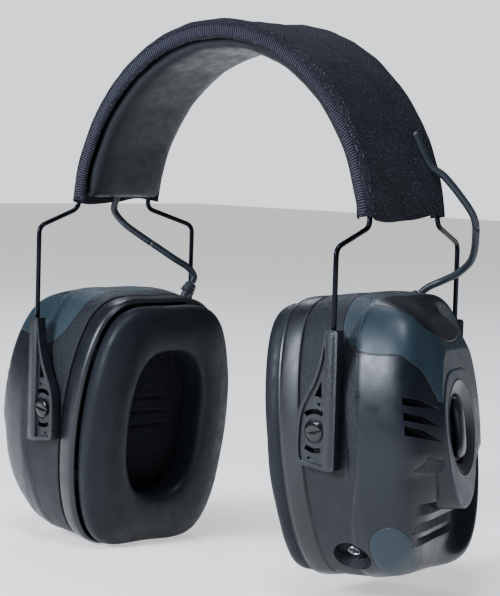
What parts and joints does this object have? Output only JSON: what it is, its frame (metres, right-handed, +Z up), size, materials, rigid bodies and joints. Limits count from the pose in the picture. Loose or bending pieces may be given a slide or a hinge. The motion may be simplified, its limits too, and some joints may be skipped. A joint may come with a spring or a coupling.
{
  "type": "earmuff hearing protector",
  "caption": "Electronic earmuff: padded wire headband, two ear cups that slide and tilt on side arms, sealing cushions, volume knob, battery door and audio socket.",
  "frame": {"origin": "middle of the footprint, at the lowest point of the ear cups", "axes": "+X towards the wearer's right cup, which has the volume knob; -Y towards the front; +Z up through the headband"},
  "size_m": [0.2606, 0.0962, 0.2395],
  "materials": {
    "wire_steel": "dark satin",
    "sleeve_fabric": "woven, matte",
    "pad_cover": "smooth satin cover over foam",
    "core_plastic": "matte",
    "cable_jacket": "satin",
    "arm_plastic": "satin moulded",
    "shell_plastic": "satin and stippled",
    "ring_plastic": "satin",
    "baffle_plastic": "matte",
    "cushion_cover": "soft matte vinyl over foam",
    "foam": "open cell",
    "speaker_body": "matte",
    "microphone_can": "satin",
    "board": "solder mask",
    "boot_rubber": "matte",
    "pin_plastic": "gloss",
    "screw_steel": "zinc",
    "cell_jacket": "plain wrap",
    "contact_metal": "plated",
    "knob_plastic": "satin",
    "pot_metal": "satin",
    "jack_metal": "nickel plate"
  },
  "bodies": {
    "headband": {"headband_front_wire": "wire_steel", "headband_rear_wire": "wire_steel", "headband_sleeve": "sleeve_fabric", "headband_core": "core_plastic", "headband_pad": "pad_cover", "wire_keepers": "core_plastic", "cable_band": "cable_jacket", "left_cable": "cable_jacket", "right_cable": "cable_jacket"},
    "left_arms": {"left_front_arm": "arm_plastic", "left_rear_arm": "arm_plastic"},
    "right_arms": {"right_front_arm": "arm_plastic", "right_rear_arm": "arm_plastic"},
    "left_cup": {"left_cup_shell": "shell_plastic", "left_seal_ring": "ring_plastic", "left_baffle": "baffle_plastic", "left_ear_cushion": "cushion_cover", "left_foam_liner": "foam", "left_speaker": "speaker_body", "left_microphone": "microphone_can", "left_circuit_board": "board", "left_strain_relief": "boot_rubber", "left_front_pin": "pin_plastic", "left_rear_pin": "pin_plastic", "left_baffle_screws": "screw_steel", "battery_tray": "baffle_plastic", "batteries": "cell_jacket", "battery_contacts": "contact_metal", "battery_door_pin": "screw_steel"},
    "battery_door": {"battery_door": "shell_plastic"},
    "right_cup": {"right_cup_shell": "shell_plastic", "right_seal_ring": "ring_plastic", "right_baffle": "baffle_plastic", "right_ear_cushion": "cushion_cover", "right_foam_liner": "foam", "right_speaker": "speaker_body", "right_microphone": "microphone_can", "right_circuit_board": "board", "right_strain_relief": "boot_rubber", "right_front_pin": "pin_plastic", "right_rear_pin": "pin_plastic", "right_baffle_screws": "screw_steel", "knob_dish": "ring_plastic", "potentiometer": "pot_metal", "aux_jack": "jack_metal"},
    "volume_knob": {"volume_knob": "knob_plastic", "volume_shaft": "pot_metal"}
  },
  "joints": [
    {"name": "left_height", "type": "slide", "parent": "headband", "child": "left_arms", "axis": [0, 0, 1], "range_m": [-0.005, 0.028], "deforming": ["left_cable"]},
    {"name": "right_height", "type": "slide", "parent": "headband", "child": "right_arms", "axis": [0, 0, 1], "range_m": [-0.018, 0.015], "deforming": ["right_cable"]},
    {"name": "left_cup_tilt", "type": "hinge", "parent": "left_arms", "child": "left_cup", "pos_m": [-0.078, 0, 0.0635], "axis": [-0.0958, -0.9954, 0], "range_deg": [-6, 14]},
    {"name": "right_cup_tilt", "type": "hinge", "parent": "right_arms", "child": "right_cup", "pos_m": [0.078, 0, 0.0725], "axis": [-0.0958, 0.9954, 0], "range_deg": [-6, 14]},
    {"name": "battery_door_open", "type": "hinge", "parent": "left_cup", "child": "battery_door", "pos_m": [-0.12602, 0.00234, 0.03642], "axis": [-0.3799, -0.9242, 0.0407], "range_deg": [0, 95]},
    {"name": "volume_turn", "type": "hinge", "parent": "right_cup", "child": "volume_knob", "pos_m": [0.11965, 0.001, 0.0743], "axis": [0.9146, 0.3818, 0.1331], "range_deg": [0, 280]}
  ]
}
